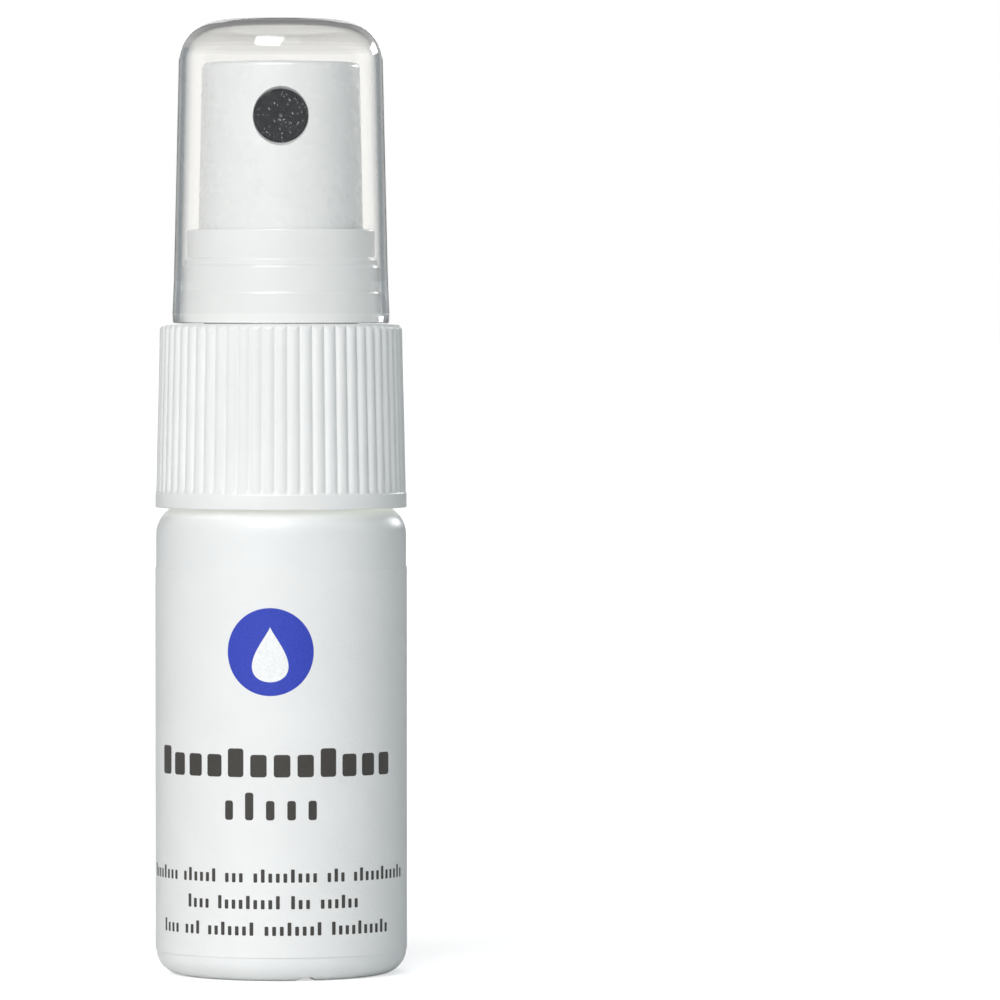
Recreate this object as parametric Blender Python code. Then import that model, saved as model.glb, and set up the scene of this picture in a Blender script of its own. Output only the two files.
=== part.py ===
"""Lens cleaning spray: a round 15 ml bottle, a screw-on fine-mist pump and a clear overcap.

Units are metres and +Z is up.  The bottle stands on z = 0, every turned piece shares the Z axis,
and the spray leaves towards -Y.
"""

import math

import bmesh
import bpy
from mathutils import Matrix, Vector

MM = 0.001

# Facets round the turned pieces.
LARGE_SEGMENTS = 40
RIB_COUNT = 60
HOUSING_SEGMENTS = 32
SMALL_SEGMENTS = 24
PIN_SEGMENTS = 16

# Bottle.
BOTTLE_RADIUS = 12.4 * MM
BOTTLE_WALL = 0.9 * MM
BASE_CORNER = 2.4 * MM
BASE_RING_INNER = 8.0 * MM
BASE_PUSH_UP = 0.8 * MM
SHOULDER_START = 43.5 * MM
SHOULDER_RADIUS = 3.1 * MM
NOTCH_WIDTH = 2.1 * MM
NOTCH_HEIGHT = 0.4 * MM
NOTCH_INNER = 9.0 * MM
NOTCH_AZIMUTH = math.radians(13.0)

# Neck finish, 20/410: 20 mm across the thread, one and a half turns.
NECK_RADIUS = 8.85 * MM
NECK_BORE = 7.3 * MM
NECK_TOP = 60.6 * MM
THREAD_CREST = 10.0 * MM
THREAD_PITCH = 3.175 * MM
THREAD_TURNS = 1.5
THREAD_BOTTOM = 53.9 * MM
THREAD_RUN_OUT = 30.0
NECK_THREAD_HALF_ROOT = 0.9 * MM
NECK_THREAD_HALF_CREST = 0.4 * MM
TRANSFER_BEAD_HEIGHT = 49.4 * MM
TRANSFER_BEAD_RADIUS = 9.6 * MM

# Wrap-round label.
LABEL_BOTTOM = 2.4 * MM
LABEL_TOP = 40.3 * MM
LABEL_GAP = 0.05 * MM
LABEL_THICKNESS = 0.1 * MM

# Closure.
CLOSURE_BOTTOM = 46.2 * MM
CLOSURE_TOP = 64.4 * MM
CLOSURE_BAND_RADIUS = 12.45 * MM
CLOSURE_BAND_TOP = 47.65 * MM
CLOSURE_RIB_RADIUS_LOW = 12.4 * MM
CLOSURE_RIB_RADIUS_HIGH = 12.0 * MM
CLOSURE_EDGE = 0.7 * MM
CLOSURE_BORE = 10.35 * MM
CLOSURE_MOUTH = 11.4 * MM
CLOSURE_DECK = 1.55 * MM
CLOSURE_HOLE = 7.9 * MM
CLOSURE_THREAD_CREST = 9.1 * MM
CLOSURE_THREAD_HALF_ROOT = 0.8 * MM
CLOSURE_THREAD_HALF_CREST = 0.45 * MM
RIB_GROOVE_DEPTH = 0.35 * MM
RIB_GROOVE_WIDTH = 0.5 * MM

# Pump housing and gasket.
GASKET_BOTTOM = 60.75 * MM
GASKET_TOP = 61.45 * MM
FLANGE_BOTTOM = 61.6 * MM
FLANGE_TOP = 62.6 * MM
FLANGE_RADIUS = 9.3 * MM
CHAMBER_BORE = 3.1 * MM
CHAMBER_WALL = 0.8 * MM
CHAMBER_BOTTOM = 43.0 * MM
CHAMBER_TOP = 59.8 * MM
PLUG_RADIUS = 6.9 * MM
SNAP_RING_TOP = 64.2 * MM
BALL_POCKET = 1.5 * MM
BALL_NIB_COUNT = 3
BALL_NIB_SIZE = (0.8 * MM, 0.5 * MM, 0.4 * MM)
SEAT_BORE = 0.7 * MM
SEAT_TOP = 40.6 * MM
SEAT_BOTTOM = 39.6 * MM
SOCKET_TOP = 39.3 * MM
SOCKET_BOTTOM = 36.0 * MM
SOCKET_BORE = 1.9 * MM
VENT_HEIGHT = 56.0 * MM
VENT_RADIUS = 0.35 * MM

# Inlet ball and dip tube.
BALL_RADIUS = 1.2 * MM
BALL_SEAT_GAP = 0.15 * MM
DIP_TUBE_RADIUS = 1.65 * MM
DIP_TUBE_BORE = 1.15 * MM
DIP_TUBE_TOP = 39.1 * MM
DIP_TUBE_BEND = 34.0 * MM
DIP_TUBE_TIP = Vector((-3.0 * MM, 1.8 * MM, 2.6 * MM))
DIP_TUBE_SLANT = math.radians(30.0)

# Guide collar.
COLLAR_FLOOR_BOTTOM = 64.6 * MM
COLLAR_FLOOR_TOP = 65.8 * MM
COLLAR_TOP = 73.7 * MM
COLLAR_RADIUS = 9.35 * MM
COLLAR_BORE = 8.45 * MM
COLLAR_FOOT_RADIUS = 9.6 * MM
COLLAR_BEAD_RADIUS = 9.8 * MM
HUB_BORE = 1.95 * MM
HUB_RADIUS = 2.85 * MM
HUB_BOTTOM = 60.2 * MM
HUB_TOP = 66.2 * MM

# Stem, valve core, piston and return spring.
STEM_RADIUS = 1.75 * MM
STEM_BORE = 0.8 * MM
STEM_BOTTOM = 54.9 * MM
STEM_TOP = 79.8 * MM
STEM_FLANGE_RADIUS = 2.6 * MM
STEM_FLANGE_TOP = 59.9 * MM
STEM_FLANGE_BOTTOM = 59.3 * MM
STEM_PORT_HEIGHT = 56.3 * MM
STEM_PORT_RADIUS = 0.35 * MM
CORE_HEAD_RADIUS = 2.4 * MM
CORE_HEAD_BOTTOM = 53.6 * MM
CORE_HEAD_TOP = 54.6 * MM
CORE_SPIGOT_RADIUS = 1.2 * MM
CORE_SPIGOT_BOTTOM = 50.6 * MM
CORE_PIN_RADIUS = 0.55 * MM
CORE_PIN_TOP = 57.2 * MM
PISTON_RADIUS = 3.0 * MM
PISTON_WAIST = 2.6 * MM
PISTON_BORE = 1.95 * MM
PISTON_BOTTOM = 54.9 * MM
PISTON_TOP = 58.4 * MM
SPRING_BOTTOM = 43.2 * MM
SPRING_TOP = 53.4 * MM
SPRING_MEAN_RADIUS = 2.0 * MM
SPRING_WIRE = 0.45 * MM
SPRING_TURNS = 7
SPRING_CLOSED_PITCH = 0.5 * MM

# Actuator and nozzle insert.
ACTUATOR_TOP = 90.2 * MM
ACTUATOR_BOTTOM = 71.5 * MM
ACTUATOR_RADIUS_HIGH = 7.8 * MM
ACTUATOR_RADIUS_LOW = 8.2 * MM
ACTUATOR_WALL = 1.0 * MM
ACTUATOR_EDGE = 0.9 * MM
ACTUATOR_DISH = 0.6 * MM
ACTUATOR_CEILING = 88.1 * MM
COLUMN_RADIUS = 3.2 * MM
COLUMN_BOTTOM = 71.0 * MM
STEM_SOCKET_TOP = 80.0 * MM
FEED_BORE = 0.6 * MM
FEED_TOP = 87.5 * MM
NOZZLE_HEIGHT = 84.8 * MM
NOZZLE_BOSS_RADIUS = 3.5 * MM
NOZZLE_BOSS_BACK = 2.0 * MM
NOZZLE_BOSS_FRONT = 7.0 * MM
NOZZLE_POCKET_RADIUS = 2.8 * MM
NOZZLE_POCKET_FLOOR = 4.2 * MM
CROSS_FEED_RADIUS = 0.45 * MM
CROSS_FEED_OFFSET = 1.95 * MM
SWIRL_POST_RADIUS = 1.2 * MM
SWIRL_POST_FRONT = 6.5 * MM
INSERT_RADIUS = 2.65 * MM
INSERT_FRONT = 7.2 * MM
INSERT_BACK = 4.5 * MM
INSERT_BORE = 1.45 * MM
INSERT_FACE = 0.45 * MM
ORIFICE_RADIUS = 0.16 * MM

# Overcap.
OVERCAP_BOTTOM = 64.8 * MM
OVERCAP_TOP = 94.6 * MM
OVERCAP_LIP_RADIUS = 10.75 * MM
OVERCAP_LIP_HEIGHT = 2.5 * MM
OVERCAP_RADIUS_LOW = 10.63 * MM
OVERCAP_RADIUS_HIGH = 10.02 * MM
OVERCAP_CORNER = 4.3 * MM
OVERCAP_WALL = 0.6 * MM
OVERCAP_TOP_WALL = 0.7 * MM

# Broken edge of a moulded rim, and how far a joined or cutting shape runs past the surface it meets.
CHAMFER = 0.3 * MM
OVERRUN = 0.3 * MM


# ---------------------------------------------------------------- helpers

def clear_scene():
    """Remove the objects that the file starts with."""
    for item in list(bpy.data.objects):
        bpy.data.objects.remove(item, do_unlink=True)


def plastic(name, colour, roughness, metallic=0.0, transmission=0.0):
    """Return a Principled BSDF material."""
    finish = bpy.data.materials.new(name)
    finish.use_nodes = True
    shader = finish.node_tree.nodes["Principled BSDF"]
    shader.inputs["Base Color"].default_value = (*colour, 1.0)
    shader.inputs["Roughness"].default_value = roughness
    shader.inputs["Metallic"].default_value = metallic
    shader.inputs["Transmission Weight"].default_value = transmission
    finish.diffuse_color = (*colour, 1.0)
    return finish


def make_object(name, bm, finish, place=None):
    """Turn a bmesh into a named, smooth-shaded object whose faces point outwards."""
    if place is not None:
        bmesh.ops.transform(bm, matrix=place, verts=bm.verts[:])
    bmesh.ops.recalc_face_normals(bm, faces=bm.faces[:])
    mesh = bpy.data.meshes.new(name)
    bm.to_mesh(mesh)
    bm.free()
    mesh.shade_smooth()
    mesh.set_sharp_from_angle(angle=math.radians(35.0))
    if finish is not None:
        mesh.materials.append(finish)
    made = bpy.data.objects.new(name, mesh)
    bpy.context.scene.collection.objects.link(made)
    return made


def arc(centre, radius, start, end, steps):
    """Points (radius, height) on an arc, angles in degrees from the outward direction."""
    points = []
    for step in range(steps + 1):
        angle = math.radians(start + (end - start) * step / steps)
        points.append((centre[0] + radius * math.cos(angle), centre[1] + radius * math.sin(angle)))
    return points


def bridge(bm, first, second):
    """Join two rings of the same size, or a ring and a point on the axis."""
    count = max(len(first), len(second))
    for index in range(count):
        after = (index + 1) % count
        if len(first) == 1 and len(second) == 1:
            return
        if len(first) == 1:
            bm.faces.new((first[0], second[after], second[index]))
        elif len(second) == 1:
            bm.faces.new((first[index], first[after], second[0]))
        else:
            bm.faces.new((first[index], first[after], second[after], second[index]))


def turned(name, outline, segments, finish, place=None):
    """Turn a closed (radius, height) outline about +Z; a point at radius 0 is a pole."""
    bm = bmesh.new()
    rings = []
    for radius, height in outline:
        if radius == 0.0:
            rings.append([bm.verts.new((0.0, 0.0, height))])
            continue
        ring = []
        for index in range(segments):
            angle = 2.0 * math.pi * index / segments
            ring.append(bm.verts.new((radius * math.cos(angle), radius * math.sin(angle), height)))
        rings.append(ring)
    for first, second in zip(rings, rings[1:] + rings[:1]):
        bridge(bm, first, second)
    return make_object(name, bm, finish, place)


def swept(name, sections, finish):
    """Join cross-sections of equal point count into one solid with capped ends."""
    bm = bmesh.new()
    rings = [[bm.verts.new(point) for point in section] for section in sections]
    for first, second in zip(rings, rings[1:]):
        bridge(bm, first, second)
    bm.faces.new(rings[0])
    bm.faces.new(rings[-1])
    return make_object(name, bm, finish)


def rod(name, radius, bottom, top, segments, place=None):
    """A plain round bar along +Z, used as a cutter or an added boss."""
    outline = [(0.0, bottom), (radius, bottom), (radius, top), (0.0, top)]
    return turned(name, outline, segments, None, place)


def combine(target, tool, operation):
    """Add an exact Boolean to target and hide the tool from the finished model."""
    modifier = target.modifiers.new(tool.name, "BOOLEAN")
    modifier.operation = operation
    modifier.solver = "EXACT"
    modifier.object = tool
    tool.hide_render = True
    tool.display_type = "WIRE"


def polar(radius, angle, height):
    """A point given by radius, angle about +Z and height."""
    return Vector((radius * math.cos(angle), radius * math.sin(angle), height))


def facing_front(height):
    """Placement that turns +Z to -Y at the given height."""
    return Matrix.Translation((0.0, 0.0, height)) @ Matrix.Rotation(math.radians(90.0), 4, "X")


def thread_ridge(name, root, crest, start_height, half_root, half_crest):
    """A right-handed thread ridge whose crest sinks into its wall at both ends."""
    step_angle = 360.0 / LARGE_SEGMENTS
    total = 360.0 * THREAD_TURNS
    steps = round(total / step_angle)
    inward = -1.0 if crest < root else 1.0
    buried = root - inward * OVERRUN
    sections = []
    for step in range(steps + 1):
        turn_angle = step * step_angle
        rise = min(1.0, turn_angle / THREAD_RUN_OUT, (total - turn_angle) / THREAD_RUN_OUT)
        tip = root + (crest - root) * rise - inward * OVERRUN * 0.5 * (1.0 - rise)
        angle = math.radians(turn_angle)
        middle = start_height + THREAD_PITCH * turn_angle / 360.0
        sections.append([
            polar(buried, angle, middle - half_root),
            polar(tip, angle, middle - half_crest),
            polar(tip, angle, middle + half_crest),
            polar(buried, angle, middle + half_root),
        ])
    return swept(name, sections, None)


# ---------------------------------------------------------------- bottle and label

def make_bottle(finish):
    """Blow-moulded bottle: push-up base, straight wall, round shoulder and threaded neck."""
    corner = (BOTTLE_RADIUS - BASE_CORNER, BASE_CORNER)
    shoulder = (BOTTLE_RADIUS - SHOULDER_RADIUS, SHOULDER_START)
    inner_radius = BOTTLE_RADIUS - BOTTLE_WALL
    inner_floor = BOTTLE_WALL
    bead = TRANSFER_BEAD_HEIGHT
    outline = [(0.0, BASE_PUSH_UP), (0.5 * BASE_RING_INNER, 0.8 * BASE_PUSH_UP), (BASE_RING_INNER, 0.0)]
    outline += arc(corner, BASE_CORNER, -90.0, 0.0, 4)
    outline += arc(shoulder, SHOULDER_RADIUS, 0.0, 90.0, 5)
    outline += [
        (NECK_RADIUS, SHOULDER_START + SHOULDER_RADIUS),
        (NECK_RADIUS, bead),
        (TRANSFER_BEAD_RADIUS, bead + 0.3 * MM),
        (TRANSFER_BEAD_RADIUS, bead + 0.8 * MM),
        (NECK_RADIUS, bead + 1.1 * MM),
        (NECK_RADIUS, NECK_TOP - CHAMFER),
        (NECK_RADIUS - CHAMFER, NECK_TOP),
        (NECK_BORE, NECK_TOP),
        (NECK_BORE, SHOULDER_START + SHOULDER_RADIUS),
    ]
    outline += arc(shoulder, SHOULDER_RADIUS - BOTTLE_WALL, 90.0, 0.0, 3)
    outline += arc(corner, BASE_CORNER - BOTTLE_WALL, 0.0, -90.0, 3)
    outline += [(BASE_RING_INNER, inner_floor), (0.0, inner_floor + BASE_PUSH_UP)]
    bottle = turned("bottle", outline, LARGE_SEGMENTS, finish)

    thread = thread_ridge(
        "bottle_thread_tool", NECK_RADIUS, THREAD_CREST, THREAD_BOTTOM,
        NECK_THREAD_HALF_ROOT, NECK_THREAD_HALF_CREST)
    combine(bottle, thread, "UNION")

    notch = bmesh.new()
    bmesh.ops.create_cube(notch, size=1.0)
    notch_length = BASE_CORNER + OVERRUN
    size = Matrix.Diagonal((notch_length, NOTCH_WIDTH, 2.0 * NOTCH_HEIGHT, 1.0))
    outwards = Matrix.Translation((NOTCH_INNER + 0.5 * notch_length, 0.0, 0.0))
    spin = Matrix.Rotation(math.radians(-90.0) + NOTCH_AZIMUTH, 4, "Z")
    combine(bottle, make_object("bottle_notch_tool", notch, None, spin @ outwards @ size), "DIFFERENCE")
    return bottle


def make_wrap_label(finish):
    """Printed film wrapped once round the wall, its two ends one facet apart at the back."""
    inner = BOTTLE_RADIUS + LABEL_GAP
    outer = inner + LABEL_THICKNESS
    sections = []
    for index in range(LARGE_SEGMENTS):
        angle = math.radians(90.0) + 2.0 * math.pi * (index + 1) / LARGE_SEGMENTS
        sections.append([
            polar(inner, angle, LABEL_BOTTOM),
            polar(outer, angle, LABEL_BOTTOM),
            polar(outer, angle, LABEL_TOP),
            polar(inner, angle, LABEL_TOP),
        ])
    return swept("wrap_label", sections, finish)


# ---------------------------------------------------------------- closure

def rib_grooves():
    """The slots between the closure's finger ribs, which run out through its rounded top edge."""
    bm = bmesh.new()
    half_floor = 0.25 * RIB_GROOVE_WIDTH
    half_mouth = 0.5 * RIB_GROOVE_WIDTH + 0.25 * MM
    outside = CLOSURE_BAND_RADIUS + OVERRUN
    ends = [
        (CLOSURE_BAND_TOP + 0.1 * MM, CLOSURE_RIB_RADIUS_LOW - RIB_GROOVE_DEPTH),
        (CLOSURE_TOP + OVERRUN, CLOSURE_RIB_RADIUS_HIGH - RIB_GROOVE_DEPTH),
    ]
    for index in range(RIB_COUNT):
        turn = Matrix.Rotation(2.0 * math.pi * (index + 0.5) / RIB_COUNT, 3, "Z")
        rings = []
        for height, floor in ends:
            slot = [(floor, -half_floor), (outside, -half_mouth), (outside, half_mouth), (floor, half_floor)]
            rings.append([bm.verts.new(turn @ Vector((x, y, height))) for x, y in slot])
        bridge(bm, *rings)
        for ring in rings:
            bm.faces.new(ring)
    return make_object("closure_groove_tool", bm, None)


def make_closure(finish):
    """Ribbed screw closure with an open deck that the guide collar holds to the pump."""
    deck_bottom = CLOSURE_TOP - CLOSURE_DECK
    edge = (CLOSURE_RIB_RADIUS_HIGH - CLOSURE_EDGE, CLOSURE_TOP - CLOSURE_EDGE)
    outline = [
        (CLOSURE_MOUTH, CLOSURE_BOTTOM),
        (CLOSURE_BAND_RADIUS - CHAMFER, CLOSURE_BOTTOM),
        (CLOSURE_BAND_RADIUS, CLOSURE_BOTTOM + CHAMFER),
        (CLOSURE_BAND_RADIUS, CLOSURE_BAND_TOP),
        (CLOSURE_RIB_RADIUS_LOW, CLOSURE_BAND_TOP + 0.05 * MM),
    ]
    outline += arc(edge, CLOSURE_EDGE, 0.0, 90.0, 3)
    outline += [
        (CLOSURE_HOLE, CLOSURE_TOP),
        (CLOSURE_HOLE, deck_bottom),
        (CLOSURE_BORE, deck_bottom),
        (CLOSURE_BORE, CLOSURE_BOTTOM + 2.2 * MM),
        (CLOSURE_MOUTH, CLOSURE_BOTTOM + 1.2 * MM),
    ]
    closure = turned("closure", outline, RIB_COUNT, finish)
    combine(closure, rib_grooves(), "DIFFERENCE")
    thread_start = THREAD_BOTTOM - 0.5 * THREAD_PITCH
    thread = thread_ridge(
        "closure_thread_tool", CLOSURE_BORE, CLOSURE_THREAD_CREST, thread_start,
        CLOSURE_THREAD_HALF_ROOT, CLOSURE_THREAD_HALF_CREST)
    combine(closure, thread, "UNION")
    return closure


# ---------------------------------------------------------------- pump

def make_neck_gasket(finish):
    """Flat ring that seals the housing flange to the bottle's lip."""
    outline = [
        (NECK_BORE + 0.1 * MM, GASKET_BOTTOM),
        (NECK_RADIUS + 0.35 * MM, GASKET_BOTTOM),
        (NECK_RADIUS + 0.35 * MM, GASKET_TOP),
        (NECK_BORE + 0.1 * MM, GASKET_TOP),
    ]
    return turned("neck_gasket", outline, HOUSING_SEGMENTS, finish)


def make_pump_housing(finish):
    """Pump barrel with flange, snap ring, ball seat and dip-tube socket."""
    barrel = CHAMBER_BORE + CHAMBER_WALL
    lower_barrel = SOCKET_BORE + CHAMBER_WALL
    outline = [
        (SOCKET_BORE, SOCKET_BOTTOM),
        (lower_barrel, SOCKET_BOTTOM),
        (lower_barrel, CHAMBER_BOTTOM - 1.8 * MM),
        (barrel, CHAMBER_BOTTOM - 0.6 * MM),
        (barrel, CHAMBER_TOP - 3.2 * MM),
        (PLUG_RADIUS, CHAMBER_TOP - 1.4 * MM),
        (PLUG_RADIUS, FLANGE_BOTTOM),
        (FLANGE_RADIUS, FLANGE_BOTTOM),
        (FLANGE_RADIUS, FLANGE_TOP),
        (PLUG_RADIUS - 0.25 * MM, FLANGE_TOP),
        (PLUG_RADIUS - 0.25 * MM, SNAP_RING_TOP),
        (PLUG_RADIUS - 1.3 * MM, SNAP_RING_TOP),
        (PLUG_RADIUS - 1.3 * MM, CHAMBER_TOP),
        (CHAMBER_BORE, CHAMBER_TOP),
        (CHAMBER_BORE, CHAMBER_BOTTOM),
        (BALL_POCKET, CHAMBER_BOTTOM),
        (BALL_POCKET, SEAT_TOP),
        (SEAT_BORE, SEAT_BOTTOM),
        (SEAT_BORE, SOCKET_TOP),
        (SOCKET_BORE, SOCKET_TOP),
    ]
    housing = turned("pump_housing", outline, HOUSING_SEGMENTS, finish)

    vent_turn = Matrix.Translation((0.0, 0.0, VENT_HEIGHT)) @ Matrix.Rotation(math.radians(90.0), 4, "Y")
    vent = rod("housing_vent_tool", VENT_RADIUS, CHAMBER_BORE - OVERRUN, barrel + OVERRUN, 8, vent_turn)
    combine(housing, vent, "DIFFERENCE")

    for index in range(BALL_NIB_COUNT):
        nib = bmesh.new()
        bmesh.ops.create_cube(nib, size=1.0)
        size = Matrix.Diagonal((*BALL_NIB_SIZE, 1.0))
        place = Matrix.Translation((BALL_POCKET - 0.2 * MM, 0.0, CHAMBER_BOTTOM - 0.3 * MM))
        spin = Matrix.Rotation(2.0 * math.pi * index / BALL_NIB_COUNT, 4, "Z")
        combine(housing, make_object(f"housing_nib_tool_{index}", nib, None, spin @ place @ size), "UNION")
    return housing


def make_guide_collar(finish):
    """Collar that snaps to the housing, traps the closure and guides the actuator's skirt."""
    floor = COLLAR_FLOOR_BOTTOM
    sleeve = PLUG_RADIUS - 1.55 * MM
    skirt = CLOSURE_HOLE - 0.3 * MM
    flare = COLLAR_TOP - 3.8 * MM
    outline = [
        (HUB_BORE, HUB_BOTTOM),
        (HUB_RADIUS, HUB_BOTTOM),
        (HUB_RADIUS, floor),
        (sleeve - 0.75 * MM, floor),
        (sleeve - 0.75 * MM, CHAMBER_TOP + 0.3 * MM),
        (sleeve, CHAMBER_TOP + 0.3 * MM),
        (sleeve, floor),
        (skirt - 0.75 * MM, floor),
        (skirt - 0.75 * MM, FLANGE_TOP + 0.3 * MM),
        (skirt, FLANGE_TOP + 0.3 * MM),
        (skirt, floor),
        (COLLAR_FOOT_RADIUS, floor),
        (COLLAR_FOOT_RADIUS, floor + 2.5 * MM),
        (COLLAR_BEAD_RADIUS, floor + 2.7 * MM),
        (COLLAR_BEAD_RADIUS, flare),
        (COLLAR_RADIUS, flare + 0.7 * MM),
        (COLLAR_RADIUS, COLLAR_TOP - CHAMFER),
        (COLLAR_RADIUS - CHAMFER, COLLAR_TOP),
        (COLLAR_BORE + CHAMFER, COLLAR_TOP),
        (COLLAR_BORE, COLLAR_TOP - CHAMFER),
        (COLLAR_BORE, COLLAR_FLOOR_TOP),
        (HUB_RADIUS, COLLAR_FLOOR_TOP),
        (HUB_RADIUS - 0.2 * MM, HUB_TOP),
        (HUB_BORE, HUB_TOP),
    ]
    return turned("guide_collar", outline, LARGE_SEGMENTS, finish)


def make_inlet_ball(finish):
    """Check ball that rests on the conical seat under the chamber."""
    slope = math.atan2(BALL_POCKET - SEAT_BORE, SEAT_TOP - SEAT_BOTTOM)
    along_axis = (BALL_RADIUS + BALL_SEAT_GAP - SEAT_BORE * math.cos(slope)) / math.sin(slope)
    bm = bmesh.new()
    bmesh.ops.create_uvsphere(bm, u_segments=14, v_segments=8, radius=BALL_RADIUS)
    return make_object("inlet_ball", bm, finish, Matrix.Translation((0.0, 0.0, SEAT_BOTTOM + along_axis)))


def dip_tube_centre(fraction):
    """Centre line of the dip tube: straight in its socket, then a slow bend to its tip."""
    height = DIP_TUBE_TOP + (DIP_TUBE_TIP.z - DIP_TUBE_TOP) * fraction
    bend = max(0.0, (DIP_TUBE_BEND - height) / (DIP_TUBE_BEND - DIP_TUBE_TIP.z))
    return Vector((DIP_TUBE_TIP.x * bend ** 2, DIP_TUBE_TIP.y * bend ** 2, height))


def tube_sections(radius, sides, first, last, steps):
    """Level rings along the dip tube's centre line between two fractions of its length."""
    sections = []
    for step in range(steps + 1):
        centre = dip_tube_centre(first + (last - first) * step / steps)
        ring = [centre + polar(radius, 2.0 * math.pi * side / sides, 0.0) for side in range(sides)]
        sections.append(ring)
    return sections


def make_dip_tube(finish):
    """Suction tube, cut at a slant where it reaches the bottle's floor."""
    sides = 10
    tube = swept("dip_tube", tube_sections(DIP_TUBE_RADIUS, sides, 0.0, 1.0, 10), finish)
    bore = swept("dip_tube_bore_tool", tube_sections(DIP_TUBE_BORE, sides, -0.02, 1.02, 10), None)
    combine(tube, bore, "DIFFERENCE")

    wedge = bmesh.new()
    bmesh.ops.create_cube(wedge, size=1.0)
    block = 4.0 * MM
    size = Matrix.Diagonal((2.0 * block, 2.0 * block, block, 1.0))
    slant = Matrix.Rotation(DIP_TUBE_SLANT, 4, "X")
    low = Matrix.Translation((0.0, 0.0, -0.5 * block))
    rise = DIP_TUBE_RADIUS * math.tan(DIP_TUBE_SLANT)
    place = Matrix.Translation(DIP_TUBE_TIP + Vector((0.0, 0.0, rise)))
    combine(tube, make_object("dip_tube_slant_tool", wedge, None, place @ slant @ low @ size), "DIFFERENCE")
    return tube


def make_stem(finish):
    """Hollow stem that carries the actuator and pushes the piston."""
    outline = [
        (STEM_BORE, STEM_BOTTOM),
        (STEM_RADIUS, STEM_BOTTOM),
        (STEM_RADIUS, STEM_FLANGE_BOTTOM),
        (STEM_FLANGE_RADIUS, STEM_FLANGE_BOTTOM),
        (STEM_FLANGE_RADIUS, STEM_FLANGE_TOP),
        (STEM_RADIUS, STEM_FLANGE_TOP),
        (STEM_RADIUS, STEM_TOP),
        (STEM_BORE, STEM_TOP),
    ]
    stem = turned("stem", outline, SMALL_SEGMENTS, finish)
    across = Matrix.Translation((0.0, 0.0, STEM_PORT_HEIGHT)) @ Matrix.Rotation(math.radians(90.0), 4, "Y")
    reach = STEM_RADIUS + OVERRUN
    port = rod("stem_port_tool", STEM_PORT_RADIUS, -reach, reach, 8, across)
    combine(stem, port, "DIFFERENCE")
    return stem


def make_valve_core(finish):
    """Core pressed into the stem: valve head for the piston and spigot for the spring."""
    outline = [
        (0.0, CORE_SPIGOT_BOTTOM),
        (CORE_SPIGOT_RADIUS - 0.3 * MM, CORE_SPIGOT_BOTTOM),
        (CORE_SPIGOT_RADIUS, CORE_SPIGOT_BOTTOM + 0.4 * MM),
        (CORE_SPIGOT_RADIUS, CORE_HEAD_BOTTOM),
        (CORE_HEAD_RADIUS, CORE_HEAD_BOTTOM),
        (CORE_HEAD_RADIUS, CORE_HEAD_TOP - 0.4 * MM),
        (CORE_HEAD_RADIUS - 0.4 * MM, CORE_HEAD_TOP),
        (CORE_PIN_RADIUS, CORE_HEAD_TOP),
        (CORE_PIN_RADIUS, CORE_PIN_TOP),
        (0.0, CORE_PIN_TOP),
    ]
    return turned("valve_core", outline, PIN_SEGMENTS, finish)


def make_piston(finish):
    """Sliding piston with a sealing lip at each end."""
    lip = 0.7 * MM
    outline = [
        (PISTON_BORE, PISTON_BOTTOM),
        (PISTON_RADIUS, PISTON_BOTTOM),
        (PISTON_RADIUS, PISTON_BOTTOM + 0.4 * MM),
        (PISTON_WAIST, PISTON_BOTTOM + lip),
        (PISTON_WAIST, PISTON_TOP - lip),
        (PISTON_RADIUS, PISTON_TOP - 0.4 * MM),
        (PISTON_RADIUS, PISTON_TOP),
        (PISTON_BORE, PISTON_TOP),
    ]
    return turned("piston", outline, SMALL_SEGMENTS, finish)


def spring_height(turn):
    """Height of the wire's centre, with one closed turn at each end."""
    low = SPRING_BOTTOM + 0.5 * SPRING_WIRE
    high = SPRING_TOP - 0.5 * SPRING_WIRE
    if turn < 1.0:
        return low + SPRING_CLOSED_PITCH * turn
    if turn > SPRING_TURNS - 1.0:
        return high - SPRING_CLOSED_PITCH * (SPRING_TURNS - turn)
    open_part = (turn - 1.0) / (SPRING_TURNS - 2.0)
    return low + SPRING_CLOSED_PITCH + (high - low - 2.0 * SPRING_CLOSED_PITCH) * open_part


def make_return_spring(finish):
    """Compression spring between the chamber floor and the valve core."""
    steps_per_turn = 14
    sides = 5
    sections = []
    for step in range(SPRING_TURNS * steps_per_turn + 1):
        turn = step / steps_per_turn
        angle = 2.0 * math.pi * turn
        ring = []
        for side in range(sides):
            around = 2.0 * math.pi * side / sides
            radius = SPRING_MEAN_RADIUS + 0.5 * SPRING_WIRE * math.cos(around)
            ring.append(polar(radius, angle, spring_height(turn) + 0.5 * SPRING_WIRE * math.sin(around)))
        sections.append(ring)
    return swept("return_spring", sections, finish)


# ---------------------------------------------------------------- actuator, insert and overcap

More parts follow.
